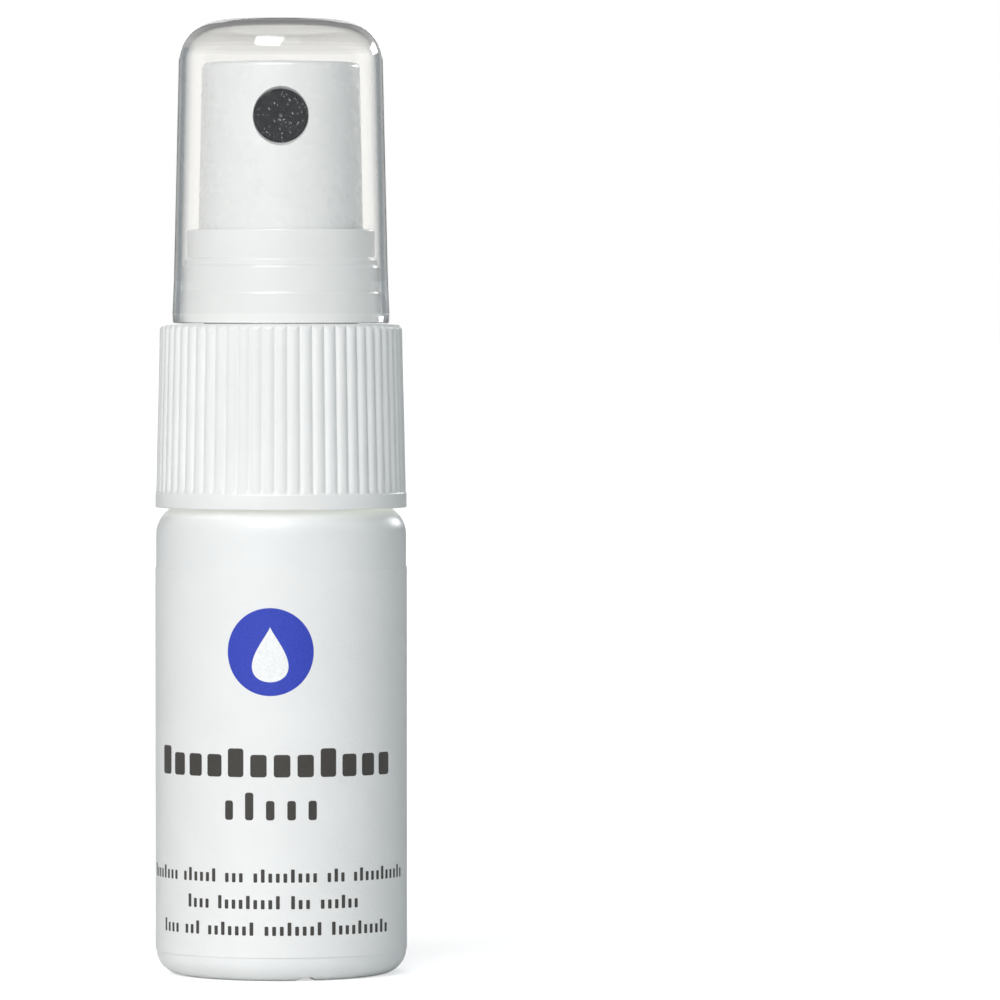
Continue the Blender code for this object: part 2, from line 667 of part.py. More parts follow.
def make_actuator(finish):
    """Finger button with a dished top, a stem socket and a nozzle pocket that faces -Y."""
    edge = (ACTUATOR_RADIUS_HIGH - ACTUATOR_EDGE, ACTUATOR_TOP - ACTUATOR_EDGE)
    dish_rim = ACTUATOR_RADIUS_HIGH - ACTUATOR_EDGE
    outline = [
        (0.0, ACTUATOR_TOP - ACTUATOR_DISH),
        (0.5 * dish_rim, ACTUATOR_TOP - 0.75 * ACTUATOR_DISH),
    ]
    outline += arc(edge, ACTUATOR_EDGE, 90.0, 0.0, 3)
    outline += [
        (ACTUATOR_RADIUS_LOW, ACTUATOR_BOTTOM),
        (ACTUATOR_RADIUS_LOW - ACTUATOR_WALL, ACTUATOR_BOTTOM),
        (ACTUATOR_RADIUS_HIGH - ACTUATOR_WALL, ACTUATOR_CEILING),
        (COLUMN_RADIUS, ACTUATOR_CEILING),
        (COLUMN_RADIUS, COLUMN_BOTTOM),
        (HUB_BORE, COLUMN_BOTTOM),
        (HUB_BORE, STEM_SOCKET_TOP),
        (FEED_BORE, STEM_SOCKET_TOP),
        (FEED_BORE, FEED_TOP),
        (0.0, FEED_TOP),
    ]
    actuator = turned("actuator", outline, LARGE_SEGMENTS, finish)
    front = facing_front(NOZZLE_HEIGHT)
    boss = rod("actuator_boss_tool", NOZZLE_BOSS_RADIUS, NOZZLE_BOSS_BACK, NOZZLE_BOSS_FRONT, 24, front)
    combine(actuator, boss, "UNION")
    outside = ACTUATOR_RADIUS_LOW + OVERRUN
    pocket = rod("actuator_pocket_tool", NOZZLE_POCKET_RADIUS, NOZZLE_POCKET_FLOOR, outside, 24, front)
    combine(actuator, pocket, "DIFFERENCE")
    feed_end = NOZZLE_POCKET_FLOOR + 0.2 * MM
    feed_place = facing_front(NOZZLE_HEIGHT + CROSS_FEED_OFFSET)
    feed = rod("actuator_feed_tool", CROSS_FEED_RADIUS, 0.2 * MM, feed_end, 10, feed_place)
    combine(actuator, feed, "DIFFERENCE")
    post_back = NOZZLE_POCKET_FLOOR - OVERRUN
    post = rod("actuator_post_tool", SWIRL_POST_RADIUS, post_back, SWIRL_POST_FRONT, 12, front)
    combine(actuator, post, "UNION")
    return actuator


def make_nozzle_insert(finish):
    """Cup pressed over the swirl post, with the spray orifice in its face."""
    face_back = INSERT_FRONT - INSERT_FACE
    outline = [
        (INSERT_BORE, INSERT_BACK),
        (INSERT_RADIUS - 0.2 * MM, INSERT_BACK),
        (INSERT_RADIUS, INSERT_BACK + 0.3 * MM),
        (INSERT_RADIUS, INSERT_FRONT),
        (2.5 * ORIFICE_RADIUS, INSERT_FRONT),
        (ORIFICE_RADIUS, INSERT_FRONT - 0.2 * MM),
        (ORIFICE_RADIUS, face_back),
        (INSERT_BORE, face_back),
    ]
    return turned("nozzle_insert", outline, SMALL_SEGMENTS, finish, facing_front(NOZZLE_HEIGHT))


def make_overcap(finish):
    """Clear protective cap that pushes over the guide collar's bead."""
    corner_height = OVERCAP_TOP - OVERCAP_CORNER
    outer_corner = (OVERCAP_RADIUS_HIGH - OVERCAP_CORNER, corner_height)
    inner_corner_radius = OVERCAP_CORNER - OVERCAP_TOP_WALL
    inner_corner = (OVERCAP_RADIUS_HIGH - OVERCAP_WALL - inner_corner_radius, corner_height)
    lip_top = OVERCAP_BOTTOM + OVERCAP_LIP_HEIGHT
    outline = [(0.0, OVERCAP_TOP)]
    outline += arc(outer_corner, OVERCAP_CORNER, 90.0, 0.0, 6)
    outline += [
        (OVERCAP_RADIUS_LOW, lip_top + 0.1 * MM),
        (OVERCAP_LIP_RADIUS, lip_top),
        (OVERCAP_LIP_RADIUS, OVERCAP_BOTTOM),
        (OVERCAP_LIP_RADIUS - OVERCAP_WALL, OVERCAP_BOTTOM),
        (OVERCAP_RADIUS_LOW - OVERCAP_WALL, lip_top),
    ]
    outline += arc(inner_corner, inner_corner_radius, 0.0, 90.0, 6)
    outline += [(0.0, OVERCAP_TOP - OVERCAP_TOP_WALL)]
    return turned("overcap", outline, LARGE_SEGMENTS, finish)


# ---------------------------------------------------------------- assembly

JOINT_ORIGINS = {
    "pump_unit_axis": NECK_TOP,
    "closure_axis": CLOSURE_BOTTOM,
    "overcap_axis": OVERCAP_BOTTOM,
    "stem_axis": STEM_BOTTOM,
    "actuator_axis": ACTUATOR_BOTTOM,
    "piston_axis": PISTON_BOTTOM,
    "ball_axis": SEAT_BOTTOM,
}

JOINT_PARENTS = {
    "closure_axis": "pump_unit_axis",
    "overcap_axis": "pump_unit_axis",
    "stem_axis": "pump_unit_axis",
    "ball_axis": "pump_unit_axis",
    "actuator_axis": "stem_axis",
    "piston_axis": "stem_axis",
}


def make_joint_frames():
    """Empties on the common axis, one for each moving group."""
    frames = {}
    for name, height in JOINT_ORIGINS.items():
        frame = bpy.data.objects.new(name, None)
        frame.empty_display_size = 3.0 * MM
        bpy.context.scene.collection.objects.link(frame)
        parent = frames.get(JOINT_PARENTS.get(name))
        base = JOINT_ORIGINS.get(JOINT_PARENTS.get(name), 0.0)
        frame.parent = parent
        frame.location = (0.0, 0.0, height - base)
        frames[name] = frame
    return frames


def attach(part, frame, height):
    """Parent a part to a joint frame and keep the part where it was modelled."""
    part.parent = frame
    part.matrix_parent_inverse = Matrix.Translation((0.0, 0.0, -height))


def build():
    """Model every piece and parent the moving ones to their joint frames."""
    clear_scene()
    white = plastic("white_moulding", (0.84, 0.85, 0.84), 0.38)
    bottle_white = plastic("bottle_white", (0.86, 0.87, 0.86), 0.32)
    label_film = plastic("label_film", (0.87, 0.88, 0.87), 0.42)
    clear = plastic("clear_cap", (0.95, 0.95, 0.92), 0.06, transmission=0.95)
    navy = plastic("nozzle_navy", (0.02, 0.03, 0.05), 0.35)
    natural = plastic("natural_polymer", (0.78, 0.79, 0.78), 0.4)
    foam = plastic("gasket_foam", (0.7, 0.7, 0.68), 0.8)
    steel = plastic("bright_steel", (0.6, 0.6, 0.6), 0.25, metallic=1.0)

    make_bottle(bottle_white)
    make_wrap_label(label_film)
    moving = {
        "pump_unit_axis": [
            make_neck_gasket(foam),
            make_pump_housing(natural),
            make_guide_collar(white),
            make_dip_tube(natural),
            make_return_spring(steel),
        ],
        "closure_axis": [make_closure(white)],
        "overcap_axis": [make_overcap(clear)],
        "stem_axis": [make_stem(natural), make_valve_core(natural)],
        "actuator_axis": [make_actuator(white), make_nozzle_insert(navy)],
        "piston_axis": [make_piston(natural)],
        "ball_axis": [make_inlet_ball(steel)],
    }
    frames = make_joint_frames()
    for name, parts in moving.items():
        for part in parts:
            attach(part, frames[name], JOINT_ORIGINS[name])


build()
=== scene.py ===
"""Looks of the lens cleaning spray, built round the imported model."""

import math

import bmesh
import bpy
from mathutils import Matrix, Vector


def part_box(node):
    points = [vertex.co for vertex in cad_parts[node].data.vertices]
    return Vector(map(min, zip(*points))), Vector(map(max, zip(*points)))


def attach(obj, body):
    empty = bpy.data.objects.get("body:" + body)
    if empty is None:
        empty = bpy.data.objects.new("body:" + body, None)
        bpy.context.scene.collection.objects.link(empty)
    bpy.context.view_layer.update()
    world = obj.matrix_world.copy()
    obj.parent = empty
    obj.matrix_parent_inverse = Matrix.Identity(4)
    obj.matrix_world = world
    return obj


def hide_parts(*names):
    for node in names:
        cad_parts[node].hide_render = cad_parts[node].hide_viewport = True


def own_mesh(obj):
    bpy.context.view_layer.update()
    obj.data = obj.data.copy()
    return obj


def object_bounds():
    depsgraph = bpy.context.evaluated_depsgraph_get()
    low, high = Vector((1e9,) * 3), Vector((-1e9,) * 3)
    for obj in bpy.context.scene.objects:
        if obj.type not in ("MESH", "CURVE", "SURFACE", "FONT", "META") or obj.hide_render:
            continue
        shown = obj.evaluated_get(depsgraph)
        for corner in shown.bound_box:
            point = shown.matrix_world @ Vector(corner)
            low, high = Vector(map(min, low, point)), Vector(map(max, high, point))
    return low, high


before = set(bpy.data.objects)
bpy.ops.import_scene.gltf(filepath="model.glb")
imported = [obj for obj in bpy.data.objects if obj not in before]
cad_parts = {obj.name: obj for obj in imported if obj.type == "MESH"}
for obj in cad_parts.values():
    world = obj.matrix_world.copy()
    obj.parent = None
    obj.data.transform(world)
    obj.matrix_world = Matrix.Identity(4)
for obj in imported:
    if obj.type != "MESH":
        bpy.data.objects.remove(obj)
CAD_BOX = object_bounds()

MM = 0.001
ROUND = 192                         # steps round a large turned piece
SHARP_EDGE = math.radians(40.0)     # a larger bend between faces shades as a crease
ON_AXIS = 1e-9                      # a smaller radius is a point on the axis

# sizes that several pieces share, in millimetres
LABEL_R = 12.48
THREAD_PITCH = 3.175
THREAD_START = 53.9
STEM_HOLE_R = 1.95
NOZZLE_HEIGHT = 84.8

scene = bpy.context.scene


# ---------------------------------------------------------------- mesh helpers

def arc_between(before, corner, after, radius, steps):
    """Points of the fillet that rounds one corner of an outline."""
    corner = Vector(corner)
    back = (Vector(before) - corner).normalized()
    ahead = (Vector(after) - corner).normalized()
    half = 0.5 * back.angle(ahead)
    reach = radius / math.tan(half)
    centre = corner + (back + ahead).normalized() * radius / math.sin(half)
    start = corner + back * reach - centre
    end = corner + ahead * reach - centre
    sweep = start.angle_signed(end)
    points = []
    for step in range(steps + 1):
        turn = Matrix.Rotation(-sweep * step / steps, 2)
        points.append(tuple(centre + turn @ start))
    return points


def rounded(corners, steps=6):
    """An outline in millimetres, (radius, height[, fillet]), as metre points with its corners rounded."""
    points = []
    for index, corner in enumerate(corners):
        place = corner[:2]
        fillet = corner[2] if len(corner) > 2 else 0.0
        if fillet == 0.0:
            points.append(place)
            continue
        before = corners[index - 1][:2]
        after = corners[(index + 1) % len(corners)][:2]
        points += arc_between(before, place, after, fillet, steps)
    return [(radius * MM, height * MM) for radius, height in points]


def bridge(bm, first, second):
    """Join two rings of the same size, or a ring and a point on the axis."""
    count = max(len(first), len(second))
    if count == 1:
        return
    for index in range(count):
        after = (index + 1) % count
        if len(first) == 1:
            bm.faces.new((first[0], second[after], second[index]))
        elif len(second) == 1:
            bm.faces.new((first[index], first[after], second[0]))
        else:
            bm.faces.new((first[index], first[after], second[after], second[index]))


def make_object(name, bm, finish, place=None):
    """A named, smooth-shaded object from a bmesh, faces outwards."""
    if place is not None:
        bmesh.ops.transform(bm, matrix=place, verts=bm.verts[:])
    bmesh.ops.recalc_face_normals(bm, faces=bm.faces[:])
    mesh = bpy.data.meshes.new(name)
    bm.to_mesh(mesh)
    bm.free()
    mesh.shade_smooth()
    mesh.set_sharp_from_angle(angle=SHARP_EDGE)
    if finish is not None:
        mesh.materials.append(finish)
    made = bpy.data.objects.new(name, mesh)
    scene.collection.objects.link(made)
    return made


def turned(name, outline, finish, segments=ROUND, place=None, shape=None):
    """Turn a closed (radius, height) outline about +Z. shape(radius, height, angle) may change a radius."""
    bm = bmesh.new()
    rings = []
    for radius, height in outline:
        if radius < ON_AXIS:
            rings.append([bm.verts.new((0.0, 0.0, height))])
            continue
        ring = []
        for index in range(segments):
            angle = 2.0 * math.pi * index / segments
            reach = shape(radius, height, angle) if shape else radius
            ring.append(bm.verts.new((reach * math.cos(angle), reach * math.sin(angle), height)))
        rings.append(ring)
    for first, second in zip(rings, rings[1:] + rings[:1]):
        bridge(bm, first, second)
    return make_object(name, bm, finish, place)


def swept(name, sections, finish):
    """Join cross-sections of equal point count into one solid with capped ends."""
    bm = bmesh.new()
    rings = [[bm.verts.new(point) for point in section] for section in sections]
    for first, second in zip(rings, rings[1:]):
        bridge(bm, first, second)
    bm.faces.new(rings[0])
    bm.faces.new(rings[-1])
    return make_object(name, bm, finish)


def polar(radius, angle, height):
    """A point given by radius, angle about +Z and height."""
    return Vector((radius * math.cos(angle), radius * math.sin(angle), height))


def combine(target, tool, operation):
    """Apply an exact Boolean to target and delete the tool."""
    modifier = target.modifiers.new("join", "BOOLEAN")
    modifier.operation = operation
    modifier.solver = "EXACT"
    modifier.object = tool
    evaluated = target.evaluated_get(bpy.context.evaluated_depsgraph_get())
    mesh = bpy.data.meshes.new_from_object(evaluated)
    target.modifiers.clear()
    target.data = mesh
    bpy.data.objects.remove(tool)
    mesh.set_sharp_from_angle(angle=SHARP_EDGE)


def facing(axis, height):
    """Placement at a height in millimetres that turns +Z to -Y (axis "X") or to +X (axis "Y")."""
    return Matrix.Translation((0.0, 0.0, height * MM)) @ Matrix.Rotation(math.radians(90.0), 4, axis)


def rod(name, radius, bottom, top, segments, place):
    """A plain round bar along +Z for a Boolean, sizes in millimetres."""
    outline = rounded([(0.0, bottom), (radius, bottom), (radius, top), (0.0, top)])
    return turned(name, outline, None, segments, place)


def finished(piece, body, slot, *nodes):
    """Put a piece on its body and let it stand for its CAD nodes, if it has any."""
    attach(piece, body)
    if nodes:
        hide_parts(*nodes)


# ---------------------------------------------------------------- materials

class Finish:
    """A Principled material with short calls for the nodes that feed it, sizes in millimetres."""

    def __init__(self, name, colour, roughness, **sockets):
        self.material = bpy.data.materials.new(name)
        self.material.use_nodes = True
        self.tree = self.material.node_tree
        self.shader = self.tree.nodes["Principled BSDF"]
        self.shader.inputs["Base Color"].default_value = (*colour, 1.0)
        self.shader.inputs["Roughness"].default_value = roughness
        for socket, value in sockets.items():
            self.shader.inputs[socket.replace("_", " ")].default_value = value
        self.colour = colour
        self.place = self.tree.nodes.new("ShaderNodeTexCoord").outputs["Object"]
        self.normal = None
        self.tint = None

    def node(self, kind, **inputs):
        """A new node with some inputs set."""
        made = self.tree.nodes.new(kind)
        for socket, value in inputs.items():
            made.inputs[socket.replace("_", " ")].default_value = value
        return made

    def noise(self, size, detail):
        """Noise with features of about this size."""
        texture = self.node("ShaderNodeTexNoise", Scale=1.0 / (size * MM), Detail=detail, Roughness=0.55)
        self.tree.links.new(self.place, texture.inputs["Vector"])
        return texture.outputs["Fac"]

    def spread(self, source, low, high, out_low, out_high):
        """Map a source from [low, high] to [out_low, out_high]."""
        ranger = self.node(
            "ShaderNodeMapRange", From_Min=low, From_Max=high, To_Min=out_low, To_Max=out_high)
        self.tree.links.new(source, ranger.inputs["Value"])
        return ranger.outputs["Result"]

    def vary_roughness(self, source, low, high):
        """Let the roughness follow a noise."""
        self.tree.links.new(self.spread(source, 0.3, 0.7, low, high), self.shader.inputs["Roughness"])

    def vary_colour(self, source, other, low=0.35, high=0.65):
        """Mix the present colour with another as the source goes from low to high."""
        mix = self.node("ShaderNodeMix")
        mix.data_type = "RGBA"
        first, second = [socket for socket in mix.inputs if socket.type == "RGBA"]
        first.default_value = (*self.colour, 1.0)
        second.default_value = (*other, 1.0)
        if self.tint is not None:
            self.tree.links.new(self.tint, first)
        self.tree.links.new(self.spread(source, low, high, 0.0, 1.0), mix.inputs["Factor"])
        self.use_colour([socket for socket in mix.outputs if socket.type == "RGBA"][0])

    def use_colour(self, output):
        """Feed the base colour from a node."""
        self.tint = output
        self.tree.links.new(output, self.shader.inputs["Base Color"])

    def ramp(self, source, stops):
        """A colour ramp of (position, colour) stops over a source."""
        ramp = self.node("ShaderNodeValToRGB")
        elements = ramp.color_ramp.elements
        for index, (position, colour) in enumerate(stops):
            element = elements[index] if index < 2 else elements.new(position)
            element.position = position
            element.color = (*colour, 1.0)
        self.tree.links.new(source, ramp.inputs["Fac"])
        return ramp.outputs["Color"]

    def painted_glow_band(self, low, high, colour):
        """Painted light: an emission band between two heights that brightens the shade there; the plastic
        does not glow.
        """
        split = self.node("ShaderNodeSeparateXYZ")
        self.tree.links.new(self.place, split.inputs["Vector"])
        rise = self.spread(split.outputs["Z"], low * MM, high * MM, 0.0, 1.0)
        dark = (0.0, 0.0, 0.0)
        glow = self.ramp(rise, [(0.0, dark), (0.55, colour), (0.85, colour), (1.0, dark)])
        self.tree.links.new(glow, self.shader.inputs["Emission Color"])
        self.shader.inputs["Emission Strength"].default_value = 1.0

    def bump(self, source, height):
        """Raise the surface by source times height, on top of any bump that is there."""
        bump = self.node("ShaderNodeBump", Distance=height * MM, Strength=1.0)
        self.tree.links.new(source, bump.inputs["Height"])
        if self.normal is not None:
            self.tree.links.new(self.normal, bump.inputs["Normal"])
        self.normal = bump.outputs["Normal"]
        self.tree.links.new(self.normal, self.shader.inputs["Normal"])


def white_plastic(name, colour, roughness, grain, grain_height, painted_glow_band=None):
    """White moulded plastic: a faint waviness, a fine grain and a slight mottle.

    The last argument is (low, high, colour) of a band of painted light, an emission that brightens the
    shade there.
    """
    finish = Finish(name, colour, roughness, IOR=1.5)
    finish.bump(finish.noise(7.0, 2.0), 0.05)
    finish.bump(finish.noise(grain, 4.0), grain_height)
    finish.vary_roughness(finish.noise(2.5, 4.0), roughness - 0.05, roughness + 0.07)
    finish.vary_colour(finish.noise(5.0, 3.0), tuple(0.975 * part for part in colour))
    if painted_glow_band is not None:
        finish.painted_glow_band(*painted_glow_band)
    return finish.material


# painted light: a glow in the bottle's shoulder just under the closure rim, brightening the shaded gap
# there
UNDER_CLOSURE_PAINTED_LIGHT = (45.2, 46.9, (0.36, 0.37, 0.33))
bottle_white = white_plastic("bottle_white", (0.86, 0.87, 0.865), 0.33, 0.25, 0.004, UNDER_CLOSURE_PAINTED_LIGHT)
label_film = white_plastic("label_film", (0.87, 0.875, 0.87), 0.44, 0.3, 0.035)
closure_white = white_plastic("closure_white", (0.875, 0.88, 0.87), 0.36, 0.12, 0.004)
collar_white = white_plastic("collar_white", (0.86, 0.87, 0.875), 0.14, 0.12, 0.001)
actuator_white = white_plastic("actuator_white", (0.86, 0.87, 0.875), 0.26, 0.12, 0.002)
natural_polymer = white_plastic("natural_polymer", (0.78, 0.79, 0.77), 0.4, 0.15, 0.003)
piston_white = white_plastic("piston_white", (0.82, 0.83, 0.82), 0.45, 0.15, 0.003)


def make_navy():
    """Blue-black nozzle plastic with a scuffed face and a few pale specks."""
    finish = Finish("nozzle_navy", (0.001, 0.0025, 0.0065), 0.5, IOR=1.3)
    finish.bump(finish.noise(0.35, 5.0), 0.04)
    specks = finish.noise(0.25, 2.0)
    finish.vary_colour(specks, (0.45, 0.45, 0.45), 0.635, 0.695)
    finish.vary_roughness(finish.noise(0.5, 3.0), 0.4, 0.6)
    return finish.material


def make_foam():
    """Closed-cell gasket foam."""
    finish = Finish("gasket_foam", (0.7, 0.7, 0.67), 0.8)
    finish.bump(finish.noise(0.1, 4.0), 0.02)
    finish.vary_colour(finish.noise(0.3, 3.0), (0.62, 0.62, 0.6))
    return finish.material


def make_steel(name, roughness):
    """Bright steel with a fine uneven polish."""
    finish = Finish(name, (0.6, 0.6, 0.59), roughness, Metallic=1.0)
    finish.bump(finish.noise(0.08, 3.0), 0.002)
    finish.vary_roughness(finish.noise(0.3, 3.0), roughness - 0.05, roughness + 0.1)
    return finish.material


def make_ink(name, colour, roughness):
    """Flat printed ink with the slight unevenness of its coverage."""
    finish = Finish(name, colour, roughness)
    finish.bump(finish.noise(0.3, 4.0), 0.02)
    finish.vary_colour(finish.noise(0.2, 4.0), tuple(1.12 * part + 0.004 for part in colour))
    return finish.material


CLEAR_COLOUR = (0.99, 0.985, 0.965)
# painted shade: a grey for the cap's faces that lie flat, such as its top
DOME_PAINTED_SHADE = (0.72, 0.715, 0.7)
# painted shade and painted reflection on the clear cap: its colour darkens where the wall is seen edge-on,
# then pales again at the very edge, in place of the dark and bright surroundings
OUTSIDE_EDGE_PAINTED_SHADE = [
    (0.42, CLEAR_COLOUR), (0.5, (0.85, 0.86, 0.86)), (0.57, (0.5, 0.52, 0.53)),
    (0.65, (0.14, 0.165, 0.18)), (0.73, (0.1, 0.12, 0.135)), (0.8, (0.4, 0.42, 0.43)),
    (1.0, (0.5, 0.51, 0.52))]
# painted shade on the cap's inner face: a slightly greyer colour where it is seen edge-on
INSIDE_EDGE_PAINTED_SHADE = [(0.8, CLEAR_COLOUR), (1.0, (0.8, 0.82, 0.83))]


def make_clear(name, edge_painted_shade, dome_painted_shade):
    """Clear, slightly warm moulded plastic with painted shade: the edge stops darken the wall where it is
    seen edge-on and the dome colour greys its flat top.
    """
    finish = Finish(name, CLEAR_COLOUR, 0.02, IOR=1.49, Transmission_Weight=1.0)
    # painted shade: the colour darkens with Layer Weight where the wall is seen edge-on
    slope = finish.node("ShaderNodeLayerWeight", Blend=0.5).outputs["Facing"]
    finish.use_colour(finish.ramp(slope, [(0.0, CLEAR_COLOUR)] + edge_painted_shade))
    # painted shade on the top: faces whose normal points up or down get the dome colour
    geometry = finish.node("ShaderNodeNewGeometry")
    split = finish.node("ShaderNodeSeparateXYZ")
    finish.tree.links.new(geometry.outputs["True Normal"], split.inputs["Vector"])
    upward = finish.node("ShaderNodeMath")
    upward.operation = "ABSOLUTE"
    finish.tree.links.new(split.outputs["Z"], upward.inputs[0])
    finish.vary_colour(upward.outputs["Value"], dome_painted_shade, 0.26, 0.42)
    finish.bump(finish.noise(6.0, 2.0), 0.01)
    return finish.material


nozzle_navy = make_navy()
gasket_foam = make_foam()
spring_steel = make_steel("spring_steel", 0.25)
ball_steel = make_steel("ball_steel", 0.12)
ink_blue = make_ink("label_ink_blue", (0.032, 0.058, 0.46), 0.4)
ink_dark = make_ink("label_ink_dark", (0.055, 0.05, 0.045), 0.45)
ink_white = make_ink("label_ink_white", (0.86, 0.87, 0.87), 0.42)
clear_cap = make_clear("clear_cap", OUTSIDE_EDGE_PAINTED_SHADE, DOME_PAINTED_SHADE)
clear_cap_inside = make_clear("clear_cap_inside", INSIDE_EDGE_PAINTED_SHADE, CLEAR_COLOUR)


# ---------------------------------------------------------------- bottle and label

def thread_ridge(root, crest, start, half_root, half_crest):
    """A right-handed thread ridge that sinks into its wall at both ends; millimetres and degrees."""
    away = -1.0 if crest < root else 1.0
    total = 540.0
    steps = 180
    run_out = 30.0
    overrun = 0.3
    shoulder = 0.15
    shoulder_half = half_crest + 0.08
    flat_half = half_crest - 0.1
    buried = root - away * overrun
    sections = []
    for step in range(steps + 1):
        turn = total * step / steps
        rise = min(1.0, turn / run_out, (total - turn) / run_out)
        rise = rise * rise * (3.0 - 2.0 * rise)
        tip = root + (crest - root) * rise - away * 0.5 * overrun * (1.0 - rise)
        middle = start + THREAD_PITCH * turn / 360.0
        profile = [
            (buried, -half_root), (tip - shoulder * away, -shoulder_half), (tip, -flat_half),
            (tip, flat_half), (tip - shoulder * away, shoulder_half), (buried, half_root)]
        sections.append([polar(r * MM, math.radians(turn), (middle + z) * MM) for r, z in profile])
    return swept("thread", sections, None)


def make_bottle():
    """Blow-moulded bottle with its threaded neck, pushed-up base and a small notch in the base rim."""
    wall_r, inside_r, neck_r, mouth_r, bead_r = 12.4, 11.5, 8.85, 7.3, 9.6
    outline = rounded([
        (0.0, 0.8), (5.0, 0.62, 6.0), (8.2, 0.0, 1.2), (wall_r, 0.0, 2.4), (wall_r, 46.6, 3.1),
        (neck_r, 46.6, 0.3), (neck_r, 49.4, 0.2), (bead_r, 49.7, 0.2), (bead_r, 50.2, 0.2),
        (neck_r, 50.5, 0.2), (neck_r, 60.6, 0.3), (mouth_r, 60.6, 0.3), (mouth_r, 45.7, 0.8),
        (inside_r, 45.7, 2.2), (inside_r, 0.9, 1.5), (8.2, 0.9, 1.2), (5.0, 1.5, 6.0), (0.0, 1.7)], 10)
    bottle = turned("bottle_body", outline, bottle_white)
    thread = thread_ridge(root=neck_r, crest=10.0, start=THREAD_START, half_root=0.9, half_crest=0.4)
    combine(bottle, thread, "UNION")
    notch_turn = Matrix.Rotation(math.radians(13.0), 4, "Z")
    notch = rod("notch", 1.65, 7.0, 12.5, 96, notch_turn @ facing("X", -1.23))
    combine(bottle, notch, "DIFFERENCE")
    finished(bottle, "bottle_unit", "bottle_white", "bottle")


def make_label():
    """Wrap-round film with a narrow gap between its two ends at the back."""
    inner, outer = 12.41, LABEL_R
    low, high = 2.4, 40.3
    edge = 0.02
    profile = [
        (inner, low), (outer - edge, low), (outer, low + edge), (outer, high - edge),
        (outer - edge, high), (inner, high)]
    start, sweep = math.radians(99.0), math.radians(351.0)
    steps = 240
    sections = []
    for step in range(steps + 1):
        angle = start + sweep * step / steps
        sections.append([polar(r * MM, angle, z * MM) for r, z in profile])
    finished(swept("wrap_film", sections, label_film), "bottle_unit", "label_film", "wrap_label")


make_bottle()
make_label()


# ---------------------------------------------------------------- closure

RIB_COUNT = 60
STEPS_PER_RIB = 16


def ribbed(radius, height, angle):
    """Radius of the closure's outside with its grooves, which run out through the rounded top edge."""
    low, high = 47.75, 63.7
    low_r, high_r = 12.4, 12.0
    inside_r = 11.0
    depth, sharpness, floor_half, run_in = 0.25, 2.3, 0.06, 0.12
    z = height / MM
    r = radius / MM
    if r < inside_r or z < low:
        return radius
    line = low_r + (high_r - low_r) * (z - low) / (high - low)
    from_crest = 1.0 - 2.0 * abs((angle * RIB_COUNT / (2.0 * math.pi)) % 1.0 - 0.5)
    dip = min(1.0, from_crest / (1.0 - floor_half)) ** sharpness
    start = min(1.0, (z - low) / run_in)
    return min(r, line - depth * dip * start) * MM


def make_closure():
    """Screw closure with an open deck, a ribbed wall and a plain foot ring."""
    bore_r, foot_r, skirt_r, deck_r = 10.35, 12.45, 11.4, 7.9
    top = 64.4
    outline = rounded([
        (skirt_r, 46.2, 0.12), (foot_r, 46.2, 0.1), (foot_r, 47.6, 0.1), (12.38, 47.72), (12.38, 47.8),
        (12.37, 48.2), (12.2, 56.0), (12.03, 62.5), (12.0, top, 0.75), (deck_r, top, 0.15),
        (deck_r, 62.85, 0.1), (bore_r, 62.85, 0.2), (bore_r, 48.4, 0.2), (skirt_r, 47.4, 0.2)], 8)
    closure = turned("closure_cap", outline, closure_white, RIB_COUNT * STEPS_PER_RIB, None, ribbed)
    start = THREAD_START - 0.5 * THREAD_PITCH
    thread = thread_ridge(root=bore_r, crest=9.1, start=start, half_root=0.8, half_crest=0.45)
    combine(closure, thread, "UNION")
    finished(closure, "closure_unit", "closure_white", "closure")


make_closure()


# ---------------------------------------------------------------- collar, actuator, insert

def make_collar():
    """Guide collar: a stepped wall, a snap skirt and a seal ring below, and a sleeve round the stem."""
    sleeve_r, wall_r, top = STEM_HOLE_R, 8.45, 73.7
    outline = rounded([
        (sleeve_r, 60.2, 0.1), (2.85, 60.2, 0.1), (2.85, 64.6, 0.1), (4.6, 64.6, 0.1), (4.6, 60.1, 0.1),
        (5.35, 60.1, 0.1), (5.35, 64.6, 0.1), (6.85, 64.6, 0.1), (6.85, 62.9, 0.1), (7.6, 62.9, 0.1),
        (7.6, 64.45, 0.1), (9.88, 64.45, 0.15), (9.88, 67.35, 0.08), (9.8, 67.5, 0.05),
        (9.8, 70.05, 0.4), (9.55, 70.2, 0.05), (9.55, 70.75, 0.3), (9.3, 70.9, 0.05), (9.3, top, 0.2),
        (wall_r, top, 0.2), (wall_r, 65.8, 0.3), (2.85, 65.8, 0.2), (2.7, 66.2, 0.1),
        (sleeve_r, 66.2, 0.1)], 6)
    collar = turned("collar_ring", outline, collar_white)
    finished(collar, "pump_unit", "collar_white", "guide_collar")


